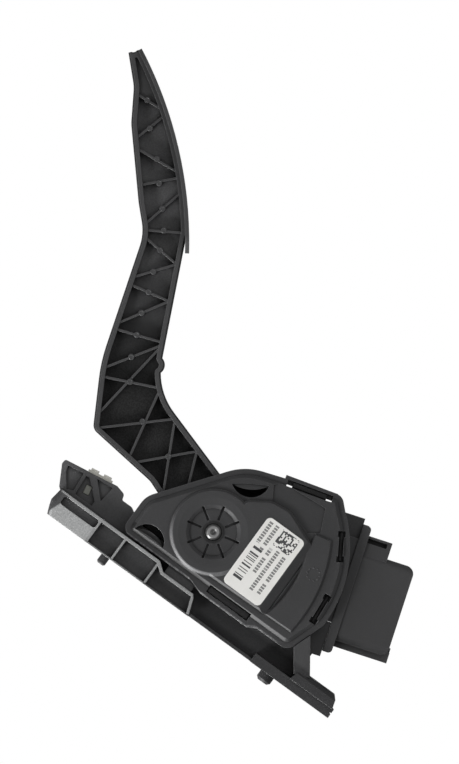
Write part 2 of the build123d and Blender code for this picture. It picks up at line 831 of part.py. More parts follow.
def connector_body():
    near, far = plug_near, plug_far
    corners = [(shroud_low, 0), (shroud_high, 0), (shroud_high, shroud_reach), (shroud_low, shroud_reach)]
    side = slab(plug_place * outline(corners, [0, 0, mouth_corner, mouth_corner]), near, far)
    middle = Pos((shroud_low + shroud_high) / 2, 0)
    section = middle * RectangleRounded(shroud_high - shroud_low, far - near, shroud_round)
    body = side & extrude(plug_mouth * section, amount=shroud_reach)
    ends = [(flange_low, 0), (flange_low, -flange_thick), (flange_high, -flange_thick), (flange_high, 0)]
    body += slab(plug_place * outline(ends, [flange_corner, 0, 0, flange_corner]), near - 1.5, far + 0.8)
    body += plug_box((stem_low, stem_high), (-stem_reach, -flange_thick), near, far)
    # Shoulder beside the tub, latch block with its slot, and guide strip
    shoulder = plug_box((shoulder_low, stem_low + 1), (-stem_reach, -flange_thick), near + 3, far - 6)
    body += shoulder - slab(inset(cover_outline(), tub_inset - loose_gap), near, far)
    body += plug_box((plug_latch_low, shroud_low + shroud_round), (0, plug_latch_reach), near + 1, far - 3)
    slot_low = plug_latch_low + shroud_wall / 2
    body -= plug_box((slot_low, slot_low + plug_latch_slot), (0, plug_latch_reach - shroud_wall),
                     near, near + 6)
    body += plug_box((shroud_high - shroud_round, guide_high), (0, shroud_reach + 1.0),
                     plug_side - 2, far - 2)
    body -= plug_box((shroud_low + shroud_wall, shroud_high - shroud_wall),
                     (shroud_reach - socket_depth, shroud_reach + 2), near + shroud_wall, far - shroud_wall)
    return body - terminal_pins()


def label():
    face = RectangleRounded(label_length, label_height, label_corner)
    return slab(at_pivot * Pos(*label_middle) * face, plateau_near - label_thick, plateau_near)


def upright_spring(radius, wire, turns):
    base = Pos(pivot_x + spring_reach, 0, pivot_z + tail_top + cup_thick)
    return base * coil(radius, wire, spring_length, turns)


def spring_cup():
    base = Plane(origin=(pivot_x + spring_reach, 0, pivot_z + tail_top))
    cup = extrude(base * Circle(cup_radius), amount=cup_thick)
    peg = extrude(base * Circle(inner_coil - inner_wire), amount=cup_thick + 4)
    return cup + peg


def friction_shoe():
    return slab(sector(hub_radius, hub_radius + shoe_thick, shoe_from, shoe_to), -shoe_half, shoe_half)


def idle_stop():
    return slab(front_face((-5.0, 1.0), (loose_gap, stop_thick)), -stop_half + 1, stop_half - 1)


def kickdown_case():
    half = kick_width / 2
    shell = kick_box((kick_recess, kick_depth), kick_length, half)
    shell -= kick_box((kick_recess - 1, kick_depth - kick_wall), kick_length - 2 * kick_wall,
                      half - kick_wall)
    return shell + slab(barb_face(0), bracket_near + bracket_panel + loose_gap, kick_side - half + kick_wall)


def kickdown_plunger():
    half = kick_width / 2 - loose_gap
    plate_low = kick_recess - kick_stroke - loose_gap
    plate = kick_box((plate_low - kick_plate, plate_low), kick_length - 2 * loose_gap, half)
    for place in (-kick_length / 4, kick_length / 4):
        ridge = kick_place * Pos(plate_low - kick_plate, place) * Rectangle(2 * kick_ridge, kick_length * 0.3)
        plate += slab(ridge, kick_side - half, kick_side + half)
    stem_gap = kick_wall + running_gap
    stem = kick_box((plate_low, kick_depth - kick_wall - kick_stroke - 4), kick_length - 2 * stem_gap,
                    kick_width / 2 - stem_gap)
    return plate + stem


def kickdown_spring():
    top = kick_depth - kick_wall - kick_stroke - 4
    length = kick_depth - kick_wall - top
    spring = coil(kick_coil, kick_wire, length, kick_turns)
    lean = radians(kick_lean)
    start = Plane(
        origin=(kick_middle[0] + top * cos(lean), kick_side, kick_middle[1] + top * sin(lean)),
        x_dir=(0, 1, 0),
        z_dir=(cos(lean), 0, sin(lean)),
    )
    return start * spring


nodes = {
    "base_housing": base_housing,
    "mounting_bushes": mounting_bushes,
    "side_cover": side_cover,
    "label": label,
    "connector_body": connector_body,
    "terminal_pins": terminal_pins,
    "sensor_board": sensor_board,
    "board_chips": board_chips,
    "near_bush": near_bush,
    "far_bush": far_bush,
    "idle_stop": idle_stop,
    "outer_spring": lambda: upright_spring(outer_coil, outer_wire, outer_turns),
    "inner_spring": lambda: upright_spring(inner_coil, inner_wire, inner_turns),
    "kickdown_case": kickdown_case,
    "kickdown_spring": kickdown_spring,
    "kickdown_plunger": kickdown_plunger,
    "pedal_arm": pedal_arm,
    "pivot_axle": pivot_axle,
    "sensor_rotor": sensor_rotor,
    "spring_cup": spring_cup,
    "friction_shoe": friction_shoe,
}
for name, make in nodes.items():
    shape = make()
    if isinstance(shape, list):
        shape = Compound(children=shape)
    export_step(shape, f"parts/{name}.step")
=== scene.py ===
from math import atan2, cos, pi, radians, sin

import bmesh
import bpy
from mathutils import Matrix, Vector


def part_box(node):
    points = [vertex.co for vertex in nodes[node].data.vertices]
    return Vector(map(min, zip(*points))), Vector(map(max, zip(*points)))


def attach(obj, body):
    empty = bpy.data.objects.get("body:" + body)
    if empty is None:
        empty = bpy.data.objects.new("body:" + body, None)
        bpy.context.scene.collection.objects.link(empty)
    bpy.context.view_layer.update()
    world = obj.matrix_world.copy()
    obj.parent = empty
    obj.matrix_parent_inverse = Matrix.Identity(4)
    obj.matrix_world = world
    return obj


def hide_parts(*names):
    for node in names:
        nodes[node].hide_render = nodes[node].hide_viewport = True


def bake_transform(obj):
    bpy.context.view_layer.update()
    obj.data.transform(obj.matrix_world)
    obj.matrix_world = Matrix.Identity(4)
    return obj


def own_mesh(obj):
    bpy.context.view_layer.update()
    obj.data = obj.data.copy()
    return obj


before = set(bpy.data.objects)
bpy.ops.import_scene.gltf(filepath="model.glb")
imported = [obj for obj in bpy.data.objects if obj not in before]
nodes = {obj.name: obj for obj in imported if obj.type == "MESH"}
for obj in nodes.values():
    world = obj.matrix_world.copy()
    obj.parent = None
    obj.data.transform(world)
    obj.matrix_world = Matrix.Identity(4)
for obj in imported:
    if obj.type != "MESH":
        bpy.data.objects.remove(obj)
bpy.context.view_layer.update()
scene = bpy.context.scene
mm = 0.001


# Camera: a long lens looks square onto the cover side, along the pivot's axis.
# The foot pad is at the top of the upright picture, so the rail leans across it.
view_middle = Vector((-106.9 * mm, 0.0, -53.6 * mm))
view_distance = 6.0
view_height = 382.0 * mm
sharp_level = 16.0 * mm
film_width = 36.0
rail_lean = radians(53.93)
picture_right = Vector((-cos(rail_lean), 0.0, sin(rail_lean)))
picture_up = Vector((-sin(rail_lean), 0.0, -cos(rail_lean)))
lens = bpy.data.cameras.new("long_lens")
lens.sensor_width = film_width
lens.lens = film_width * (view_distance - sharp_level) / view_height
camera = bpy.data.objects.new("long_lens", lens)
scene.collection.objects.link(camera)
aim = Matrix((picture_right, picture_up, Vector((0.0, -1.0, 0.0)))).transposed()
stand = view_middle - Vector((0.0, view_distance, 0.0))
camera.matrix_world = Matrix.Translation(stand) @ aim.to_4x4()
scene.camera = camera


# Base housing: one injection moulding of black glass-filled nylon, bolted to the bulkhead.
# It has the ribbed rail, the tub for the springs and the bracket of the kick-down button.
# Fibres show grey on the rail's near rims, and most of all on the solid block at its end.
class Socket:
    """An output of a node. Sums and products of outputs add Math nodes."""

    def __init__(self, tree, end=None):
        self.tree = tree
        self.end = end

    def add(self, kind, settings=None, sockets=None, out=0):
        """A new node: its settings first, then the values or links of its sockets."""
        node = self.tree.nodes.new(kind)
        for key, value in (settings or {}).items():
            setattr(node, key, value)
        for key, value in (sockets or {}).items():
            for given in value if isinstance(value, list) else [value]:
                if isinstance(given, Socket):
                    self.tree.links.new(given.end, node.inputs[key])
                else:
                    node.inputs[key].default_value = given
        return Socket(self.tree, node.outputs[out])

    def math(self, operation, first, second=0.0):
        return self.add("ShaderNodeMath", {"operation": operation}, {0: first, 1: second})

    def __add__(self, other):
        return self.math("ADD", self, other)

    __radd__ = __add__

    def __sub__(self, other):
        return self.math("SUBTRACT", self, other)

    def __rsub__(self, other):
        return self.math("SUBTRACT", other, self)

    def __mul__(self, other):
        return self.math("MULTIPLY", self, other)

    __rmul__ = __mul__

    def __truediv__(self, other):
        return self.math("DIVIDE", self, other)

    def above(self, start, end):
        """0 up to start, 1 from end on, smooth between them."""
        settings = {"interpolation_type": "SMOOTHSTEP"}
        return self.add("ShaderNodeMapRange", settings, {0: self, 1: start, 2: end, 3: 0.0, 4: 1.0})

    def between(self, low, high, soft):
        return self.above(low - soft, low) * (1.0 - self.above(high, high + soft))

    def noise(self, scale, detail=3.0):
        return self.add("ShaderNodeTexNoise", None, {"Vector": self, "Scale": scale, "Detail": detail})

    def blend(self, low, high):
        """Colour low where this is 0, high where it is 1."""
        low = (*low, 1.0) if isinstance(low, tuple) else low
        high = (*high, 1.0) if isinstance(high, tuple) else high
        return self.add("ShaderNodeMix", {"data_type": "RGBA"}, {0: self, 6: low, 7: high}, 2)

    def axis(self, letter):
        return self.add("ShaderNodeSeparateXYZ", None, {0: self}, "XYZ".index(letter))


def new_material(name):
    """A material, its shader, and the place on the piece."""
    material = bpy.data.materials.new(name)
    material.use_nodes = True
    shader = material.node_tree.nodes["Principled BSDF"]
    here = Socket(material.node_tree).add("ShaderNodeTexCoord", out="Object")
    return material, shader, here


def feed(shader, name, value):
    value.tree.links.new(value.end, shader.inputs[name])


def edge_light_and_corner_shade(here, radius):
    """The rounded normal of an edge, how far a place is on an outer edge, and how deep in a corner. Callers
    paint a highlight with the edge amount and paint shade with the corner amount.
    """
    rounded = here.add("ShaderNodeBevel", {"samples": 6}, {"Radius": radius})
    flat = here.add("ShaderNodeNewGeometry", out="Normal")
    alike = here.add("ShaderNodeVectorMath", {"operation": "DOT_PRODUCT"}, {0: rounded, 1: flat}, "Value")
    free = here.add("ShaderNodeAmbientOcclusion", {"samples": 8}, {"Distance": 5 * radius}, "AO")
    return rounded, (1.0 - alike).above(0.02, 0.25) * free.above(0.70, 0.95), 1.0 - free.above(0.20, 0.80)


def moulded_nylon(name, dark, pale, rough, bloom_and_painted_shading=(), grain_depth=0.12):
    """Black nylon with short glass fibres, flecked. Outer edges get a painted highlight, corners get painted
    shade, and places get the given tones: fibre bloom, painted light and painted shade.
    """
    material, shader, here = new_material(name)
    cloud = here.noise(55.0, 4.0)
    grain = here.noise(1400.0, 2.0)
    fleck = here.noise(3200.0, 1.0).above(0.56, 0.74)
    rounded, edge, corner = edge_light_and_corner_shade(here, 0.6 * mm)
    # Outer edges paler: a painted highlight.
    colour = (0.06 * cloud + 0.08 * fleck + 0.60 * edge).blend(dark, pale)
    speckle = 0.66 + 0.30 * grain.above(0.35, 0.65) + 0.20 * fleck
    for place, tone in bloom_and_painted_shading:
        colour = (place(here) * speckle).blend(colour, tone)
    # Painted shade: corners and creases darkened towards black.
    feed(shader, "Base Color", (0.75 * corner).blend(colour, (0.003, 0.003, 0.003)))
    feed(shader, "Roughness", rough + 0.10 * cloud + 0.06 * grain - 0.14 * edge)
    shader.inputs["Specular IOR Level"].default_value = 0.25
    bump = here.add("ShaderNodeBump", None,
                    {"Strength": grain_depth, "Distance": 0.2 * mm, "Height": grain, "Normal": rounded})
    feed(shader, "Normal", bump)
    return material


def dress(name, material):
    nodes[name].data.materials.clear()
    nodes[name].data.materials.append(material)


housing_black = (0.036, 0.036, 0.037)
housing_edge = (0.17, 0.17, 0.175)
housing_rough = 0.44
fibre_grey = (0.385, 0.39, 0.39)
bay_light_grey = (0.090, 0.090, 0.092)
bracket_light_grey = (0.075, 0.075, 0.077)
plate_black = (0.012, 0.012, 0.013)
hook_black = (0.006, 0.006, 0.006)
rail_near = -20.0 * mm
rail_top = -15.2 * mm
rail_end = 4.0 * mm
block_end = -65.0 * mm
block_top = -8.2 * mm
corner_lean = 0.4
corner_line = -89.4 * mm
foot_rim = -0.8 * mm
last_bay = -29.0 * mm
corner_top = (-13.4 * mm, -13.0 * mm)
bay_floor = -9.0 * mm
bay_sides = (-14.0 * mm, -0.5 * mm)
bay_ends = (-88.0 * mm, -1.5 * mm)
bracket_side = (-15.0 * mm, -14.0 * mm)
bracket_end = (-48.0 * mm, -40.0 * mm)
plate_side = (-14.0 * mm, -12.0 * mm)
plate_end = (-1.0 * mm, 3.0 * mm)
hook_levels = (-16.6 * mm, -15.3 * mm)
hook_side = (-15.2 * mm, -14.8 * mm)
hook_ends = (-3.0 * mm, 52.0 * mm)


def rail_bloom(here):
    """Near rims of the rail: brightest on the end block, dark on its outer corner, faint at the foot."""
    across = here.axis("X")
    along = here.axis("Z")
    near = 1.0 - here.axis("Y").above(rail_near + 0.2 * mm, rail_near + 0.9 * mm)
    rail = across.above(rail_top, rail_top + 0.8 * mm) * (1.0 - along.above(rail_end - 5.0 * mm, rail_end))
    block = 1.0 - along.above(block_end - 1.0 * mm, block_end)
    block = block * across.above(block_top - 0.8 * mm, block_top)
    corner = 1.0 - (along + corner_lean * across).above(corner_line - 0.6 * mm, corner_line + 0.6 * mm)
    corner = corner * across.above(*corner_top)
    later = along.above(last_bay - 1.0 * mm, last_bay)
    foot = across.above(foot_rim - 0.15 * mm, foot_rim) * (1.0 - block) * (0.45 + 0.55 * later)
    return near * rail * (1.0 - corner) * (1.0 - foot) * (0.62 - 0.08 * later + 0.24 * block)


def bay_painted_light(here):
    """Painted light: the rail's bays and its end recess made paler, as if lit deeper inside."""
    deep = here.axis("Y").between(rail_near + 0.6 * mm, bay_floor, 1.0 * mm)
    inside = here.axis("X").between(*bay_sides, 0.3 * mm)
    return 0.9 * deep * inside * here.axis("Z").between(*bay_ends, 0.5 * mm)


def bracket_painted_light(here):
    """Painted light: the bracket of the kick-down button, a little paler than the tub, where the rail's block
    keeps lamp light off it.
    """
    behind = 1.0 - here.axis("X").above(*bracket_side)
    return 0.8 * behind * (1.0 - here.axis("Z").above(*bracket_end))


def plate_shade(here):
    """Painted shade: the rail's upper plate, beyond its last bay, darkened."""
    return 0.7 * here.axis("X").above(*plate_side) * here.axis("Z").above(*plate_end)


def hook_shade(here):
    """Painted shade: the heads of the latch hooks, in the windows of the cover, darkened to near black."""
    level = here.axis("Y").between(*hook_levels, 0.2 * mm)
    behind = 1.0 - here.axis("X").above(*hook_side)
    return 0.85 * level * behind * here.axis("Z").between(*hook_ends, 0.5 * mm)


# Fibre bloom on the rail is the nylon's own grey. The plate, bays, bracket and hooks get painted light and
# painted shade.
housing_bloom_and_painted_shading = [
    (plate_shade, plate_black), (bay_painted_light, bay_light_grey), (bracket_painted_light, bracket_light_grey), (hook_shade, hook_black),
    (rail_bloom, fibre_grey),
]
housing_nylon = moulded_nylon("housing_nylon", housing_black, housing_edge, housing_rough, housing_bloom_and_painted_shading)
dress("base_housing", housing_nylon)


def extruded(name, points, depth, place):
    """A closed mesh piece: an outline in a plane of the piece's own, and its depth, put in place."""
    count = len(points)
    verts = [place @ Vector((x, y, z)) for z in (0.0, depth) for x, y in points]
    sides = [(n, (n + 1) % count, count + (n + 1) % count, count + n) for n in range(count)]
    faces = [tuple(range(count)), tuple(range(2 * count - 1, count - 1, -1)), *sides]
    mesh = bpy.data.meshes.new(name)
    mesh.from_pydata(verts, [], faces)
    shape = bmesh.new()
    shape.from_mesh(mesh)
    bmesh.ops.recalc_face_normals(shape, faces=shape.faces)
    shape.to_mesh(mesh)
    shape.free()
    mesh.materials.append(housing_nylon)
    piece = bpy.data.objects.new(name, mesh)
    scene.collection.objects.link(piece)
    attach(piece, "housing")


recess_size = (4.4 * mm, 21.2 * mm)
recess_round = 1.4 * mm
recess_middle = Vector((-10.25 * mm, -16.4 * mm, -75.85 * mm))
recess_depth = 1.0 * mm
corner_steps = 6


def rounded_outline(width, height, radius):
    points = []
    for quarter, (side, end) in enumerate(((1, 1), (-1, 1), (-1, -1), (1, -1))):
        for step in range(corner_steps + 1):
            turn = pi / 2 * (quarter + step / corner_steps)
            points.append((side * (width / 2 - radius) + radius * cos(turn),
                           end * (height / 2 - radius) + radius * sin(turn)))
    return points


flat_on_side = Matrix.Rotation(pi / 2, 4, "X")
extruded("recess_floor", rounded_outline(*recess_size, recess_round), -recess_depth,
         Matrix.Translation(recess_middle) @ flat_on_side)
lip_middle = Vector((-86.5 * mm, 0.0, 11.0 * mm))
lip_lean = radians(105.6)
lip_start = 9.0 * mm
lip_length = 4.2 * mm
lip_outline = [(-0.9 * mm, 14.2 * mm), (-0.5 * mm, 14.7 * mm), (3.0 * mm, 14.7 * mm), (3.0 * mm, 9.0 * mm),
               (-0.9 * mm, 9.0 * mm)]
along_window = Vector((cos(lip_lean), 0.0, sin(lip_lean)))
across_window = Vector((-sin(lip_lean), 0.0, cos(lip_lean)))
for end, name in ((-1, "latch_lip_low"), (1, "latch_lip_high")):
    start = lip_middle + along_window * end * lip_start
    axes = Matrix((across_window, Vector((0.0, -1.0, 0.0)), along_window * end)).transposed().to_4x4()
    extruded(name, lip_outline, lip_length, Matrix.Translation(start) @ axes)


# Mounting bushes: turned steel sleeves, pressed in the rail's two bolt holes so that
# a bolt clamps on steel and not on plastic. Zinc plated, with fine lines from the lathe.
def worked_steel(name, colour, rough, line_scale):
    """Turned or drawn steel, a little stained, with fine lines, a painted highlight on outer edges and
    painted shade in corners.
    """
    material, shader, here = new_material(name)
    cloud = here.noise(160.0, 3.0)
    lines = here.noise(line_scale, 2.0)
    stained = tuple(0.7 * part for part in colour)
    rounded, edge, corner = edge_light_and_corner_shade(here, 0.3 * mm)
    metal = (0.5 * cloud + 0.4 * lines + 0.3 * edge).blend(stained, colour)
    feed(shader, "Base Color", (0.6 * corner).blend(metal, (0.02, 0.02, 0.02)))
    feed(shader, "Roughness", rough + 0.12 * lines)
    shader.inputs["Metallic"].default_value = 1.0
    bump = here.add("ShaderNodeBump", None,
                    {"Strength": 0.15, "Distance": 0.1 * mm, "Height": lines, "Normal": rounded})
    feed(shader, "Normal", bump)
    return material


dress("mounting_bushes", worked_steel("zinc_steel", (0.46, 0.46, 0.46), 0.36, 900.0))


# Connector: a black nylon socket that takes the wiring plug, set in the tub's upper wall.
# Six tinned brass pins are moulded in, bent at their feet and soldered to the board.
dress("connector_body", moulded_nylon("connector_nylon", (0.037, 0.037, 0.038), (0.15, 0.15, 0.155), 0.47))
dress("terminal_pins", worked_steel("tinned_brass", (0.62, 0.60, 0.54), 0.30, 1200.0))


# Return springs: two coils of hard-drawn wire, one inside the other, so that the pedal
# still comes back if one breaks. They stand between an acetal cup on the pedal's tail and
# a seat in the tub. In the real part each one bends from the seat to the cup as the pedal turns; the coils
# made here are straight.
spring_wire = worked_steel("spring_wire", (0.36, 0.36, 0.37), 0.36, 1500.0)


def geometry_tree(name, sizes):
    """A geometry tree with named sizes, and its inputs by name."""
    tree = bpy.data.node_groups.new(name, "GeometryNodeTree")
    tree.interface.new_socket("Points", in_out="INPUT", socket_type="NodeSocketGeometry")
    for size in sizes:
        tree.interface.new_socket(size, in_out="INPUT", socket_type="NodeSocketFloat")
    tree.interface.new_socket("Mesh", in_out="OUTPUT", socket_type="NodeSocketGeometry")
    given = tree.nodes.new("NodeGroupInput")
    return tree, {size: Socket(tree, given.outputs[size]) for size in ("Points", *sizes)}


def end_tree(tree, instances, material):
    plain = instances.add("GeometryNodeRealizeInstances", None, {"Geometry": instances})
    painted = plain.add("GeometryNodeSetMaterial", None, {"Geometry": plain, "Material": material})
    tree.links.new(painted.end, tree.nodes.new("NodeGroupOutput").inputs["Mesh"])


def grown_piece(name, tree, sizes, points):
    """A plain mesh piece that the tree makes on these points."""
    seed_mesh = bpy.data.meshes.new(name + "_points")
    seed_mesh.from_pydata(points, [], [])
    seed = bpy.data.objects.new(name + "_points", seed_mesh)
    scene.collection.objects.link(seed)
    modifier = seed.modifiers.new("grown", "NODES")
    modifier.node_group = tree
    for item in tree.interface.items_tree:
        if item.name in sizes:
            modifier[item.identifier] = sizes[item.name]
    mesh = bpy.data.meshes.new_from_object(seed.evaluated_get(bpy.context.evaluated_depsgraph_get()))
    mesh.name = name
    mesh.shade_smooth()
    mesh.set_sharp_from_angle(angle=radians(40.0))
    bpy.data.objects.remove(seed)
    piece = bpy.data.objects.new(name, mesh)
    scene.collection.objects.link(piece)
    return piece


turn_steps = 32
wire_sides = 10
coil_tree, coil = geometry_tree("coil_spring", ("Coil radius", "Wire radius", "Turns", "Height", "Lean"))
helix = coil["Points"].add("GeometryNodeCurveSpiral", None, {
    "Resolution": turn_steps, "Rotations": coil["Turns"], "Start Radius": coil["Coil radius"],
    "End Radius": coil["Coil radius"], "Height": coil["Height"]})
section = helix.add("GeometryNodeCurvePrimitiveCircle", None,
                    {"Resolution": wire_sides, "Radius": coil["Wire radius"]})
wound = helix.add("GeometryNodeCurveToMesh", None,
                  {"Curve": helix, "Profile Curve": section, "Fill Caps": True})
lean = helix.add("ShaderNodeCombineXYZ", None, {"Y": coil["Lean"]})
stood = helix.add("GeometryNodeInstanceOnPoints", None,
                  {"Points": coil["Points"], "Instance": wound, "Rotation": lean})
end_tree(coil_tree, stood, spring_wire)


def coil_spring(name, radius, wire, turns, foot, axis, length):
    """A coil that stands for the CAD spring of this name, from its foot along its axis."""
    sizes = {"Coil radius": radius, "Wire radius": 0.48 * wire, "Turns": turns, "Height": length - wire,
             "Lean": atan2(axis.x, axis.z)}
    piece = grown_piece(name + "_coil", coil_tree, sizes, [foot + axis * wire / 2])
    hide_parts(name)
    return piece


upward = Vector((0.0, 0.0, 1.0))
spring_foot = Vector((-30.0 * mm, 0.0, -2.3 * mm))
spring_length = 40.0 * mm
return_springs = [("outer_spring", 6.0 * mm, 1.6 * mm, 6.0), ("inner_spring", 3.6 * mm, 1.1 * mm, 7.0)]
for name, radius, wire, turns in return_springs:
    piece = coil_spring(name, radius, wire, turns, spring_foot, upward, spring_length)
    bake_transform(piece)


def natural_acetal(name, shade, light):
    """Undyed acetal: waxy, slightly clouded, with soft edges, a painted highlight on outer edges and painted
    shade in corners.
    """
    material, shader, here = new_material(name)
    cloud = here.noise(300.0, 3.0)
    rounded, edge, corner = edge_light_and_corner_shade(here, 0.4 * mm)
    waxy = (0.8 * cloud + 0.2 * edge).blend(shade, light)
    feed(shader, "Base Color", (0.5 * corner).blend(waxy, tuple(0.3 * part for part in shade)))
    feed(shader, "Roughness", 0.36 + 0.12 * cloud)
    feed(shader, "Normal", rounded)
    return material


white_acetal = natural_acetal("white_acetal", (0.58, 0.57, 0.51), (0.78, 0.77, 0.71))
dress("spring_cup", white_acetal)


# Friction shoe: an acetal block on the hub that rubs on a track in the tub, and gives the
# foot a firm feel. The idle stop is a rubber block that the arm comes to rest on.
dress("friction_shoe", white_acetal)


def dull_black(name, colour, rough):
    """Rubber, bearing plastic or resin: nearly black, dull, with a fine grain."""
    material, shader, here = new_material(name)
    grain = here.noise(900.0, 3.0)
    feed(shader, "Base Color", grain.blend(colour, tuple(1.8 * part for part in colour)))
    feed(shader, "Roughness", rough + 0.15 * grain)
    shader.inputs["Specular IOR Level"].default_value = 0.25
    bump = here.add("ShaderNodeBump", None, {"Strength": 0.2, "Distance": 0.1 * mm, "Height": grain})
    feed(shader, "Normal", bump)
    return material


dress("idle_stop", dull_black("stop_rubber", (0.012, 0.012, 0.012), 0.70))
bearing_black = dull_black("bearing_plastic", (0.010, 0.010, 0.010), 0.50)
dress("far_bush", bearing_black)


# Pedal arm: one moulding of black glass-filled nylon, an I-section braced by slanting ribs,
# with the foot pad at its end. Ejector pins left a round post on the near side of each rib.
arm_black = (0.038, 0.038, 0.039)
arm_edge = (0.17, 0.17, 0.175)
arm_rough = 0.46
arm_grain = 0.16
web_light_grey = (0.15, 0.15, 0.153)
deep_black = (0.004, 0.004, 0.004)
web_levels = (1.5 * mm, 5.0 * mm)
web_light_end = (-145.0 * mm, -85.0 * mm)
shade_start = (-125.0 * mm, -70.0 * mm)


def arm_web(here):
    return 1.0 - here.math("ABSOLUTE", here.axis("Y")).above(*web_levels)


def web_painted_light(here):
    """Painted light: the web paler towards the foot pad."""
    return 0.8 * arm_web(here) * (1.0 - here.axis("X").above(*web_light_end))


def hub_shade(here):
    """Painted shade: the web darkened towards the hub, where the housing shades its pockets."""
    return 0.95 * arm_web(here) * here.axis("X").above(*shade_start)


# The web gets painted light towards the pad and painted shade towards the hub.
arm_painted_shading = [(web_painted_light, web_light_grey), (hub_shade, deep_black)]
arm_nylon = moulded_nylon("arm_nylon", arm_black, arm_edge, arm_rough, arm_painted_shading, arm_grain)
dress("pedal_arm", arm_nylon)
post_sides = 20
ring_sides = 6
post_sizes = {"Foot radius": 1.7 * mm, "Top radius": 1.5 * mm, "Height": 10.6 * mm,
              "Ring radius": 1.15 * mm, "Ring wire": 0.12 * mm}
post_foot = -1.1
post_places = [
    (-196.8, -169.9), (-186.1, -160.5), (-175.7, -148.6), (-166.6, -140.6), (-157.3, -131.8),
    (-148.9, -124.8), (-139.7, -120.5), (-129.1, -116.9), (-119.5, -112.8), (-109.0, -109.5),
    (-98.6, -105.0), (-88.1, -100.7), (-77.7, -93.9), (-65.3, -77.1), (-58.7, -56.4),
]
post_tree, post = geometry_tree("ejector_posts", post_sizes)
shaft = post["Points"].add("GeometryNodeMeshCone", None, {
    "Vertices": post_sides, "Radius Bottom": post["Foot radius"], "Radius Top": post["Top radius"],
    "Depth": post["Height"]}, "Mesh")
ring_line = shaft.add("GeometryNodeCurvePrimitiveCircle", None,
                      {"Resolution": post_sides, "Radius": post["Ring radius"]})
ring_wire = shaft.add("GeometryNodeCurvePrimitiveCircle", None,
                      {"Resolution": ring_sides, "Radius": post["Ring wire"]})
ring = shaft.add("GeometryNodeCurveToMesh", None, {"Curve": ring_line, "Profile Curve": ring_wire})
top = shaft.add("ShaderNodeCombineXYZ", None, {"Z": post["Height"]})
raised_ring = shaft.add("GeometryNodeTransform", None, {"Geometry": ring, "Translation": top})
whole_post = shaft.add("GeometryNodeJoinGeometry", None, {"Geometry": [shaft, raised_ring]})
standing = shaft.add("GeometryNodeInstanceOnPoints", None,
                     {"Points": post["Points"], "Instance": whole_post, "Rotation": (pi / 2, 0.0, 0.0)})
end_tree(post_tree, standing, arm_nylon)
posts = grown_piece("ejector_posts", post_tree, post_sizes,
                    [(x * mm, post_foot * mm, z * mm) for x, z in post_places])
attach(posts, "pedal")


# Axle: a turned steel pin pressed through the arm's hub. It runs in two plastic bushes,
# and carries the sensor's rotor, a thin black ring with three lobes, beside the hub.
dress("pivot_axle", worked_steel("axle_steel", (0.30, 0.30, 0.30), 0.30, 1100.0))
dress("near_bush", bearing_black)
dress("sensor_rotor", bearing_black)


# Sensor board: green coated laminate held on two pegs under the cover. Three black resin
# packages are soldered on it, and read where the rotor is.
def coated_laminate():
    material, shader, here = new_material("board_laminate")
    cloud = here.noise(240.0, 3.0)
    tracks = here.add("ShaderNodeTexWave", None, {"Vector": here, "Scale": 420.0, "Distortion": 1.5}, 1)
    shade = 0.6 * cloud + 0.4 * tracks
    feed(shader, "Base Color", shade.blend((0.012, 0.08, 0.032), (0.03, 0.16, 0.07)))
    feed(shader, "Roughness", 0.32 + 0.1 * cloud)
    return material


dress("sensor_board", coated_laminate())
dress("board_chips", dull_black("chip_resin", (0.011, 0.011, 0.011), 0.55))


# Side cover: a black nylon lid that snaps over the tub with four latches at its rim. It
# carries the near bush in a ribbed round hub, and a raised field for the label. A ring of
# dots beside that field is the usual mark of a date insert in the mould, left without figures.
hub_middle = Vector((-41.5 * mm, 0.0, -16.0 * mm))
hub_edge = 21.7 * mm
rim_edge = -15.3 * mm
rim_bulge = 2.5 * mm
cover_black = (0.028, 0.028, 0.029)
cover_edge = (0.17, 0.17, 0.175)
cover_rough = 0.40
step_black = (0.006, 0.006, 0.006)
rim_highlight_grey = (0.42, 0.42, 0.425)
hub_highlight_grey = (0.15, 0.15, 0.153)
bulge_start = (-13.6 * mm, -3.3 * mm)
bulge_end = (24.0 * mm, 29.0 * mm)
bend_ends = (-12.0 * mm, -1.0 * mm)
rim_highlight_width = (0.5 * mm, 1.1 * mm)
rim_highlight_ends = (-50.0 * mm, 40.0 * mm)
step_levels = (-20.4 * mm, -17.7 * mm)
step_sides = (-22.5 * mm, -17.5 * mm)
step_end = (-10.0 * mm, -4.0 * mm)


def rim_painted_highlight(here):
    """Painted highlight: a bright line on the rim's outer edge along the rail."""
    along = here.axis("Z")
    frame_bulge = along.above(*bulge_start) - along.above(*bulge_end)
    inset = rim_edge + rim_bulge * frame_bulge - here.axis("X")
    bend = along.between(*bend_ends, 2.0 * mm)
    patchy = 0.4 + 0.6 * here.noise(700.0, 2.0).above(0.40, 0.60)
    line = 1.0 - inset.above(*rim_highlight_width)
    return line * along.between(*rim_highlight_ends, 4.0 * mm) * (0.40 + 0.55 * bend) * patchy


def chamfer_shade(here):
    """Painted shade: the step from the rim to the panel, darkened to black beside the hub."""
    level = here.axis("Y").between(*step_levels, 0.06 * mm)
    low_side = here.axis("X").between(*step_sides, 0.4 * mm)
    return 0.9 * level * low_side * (1.0 - here.axis("Z").above(*step_end))


def hub_painted_highlight(here):
    """Painted highlight: the edge of the round field on the rail's side, made paler."""
    out = here.axis("X") - hub_middle.x
    along = here.axis("Z") - hub_middle.z
    reach = here.math("SQRT", out * out + along * along)
    ring = reach.between(hub_edge - 1.4 * mm, hub_edge + 0.3 * mm, 0.3 * mm)
    return 0.9 * ring * (out / reach).above(0.1, 0.9)


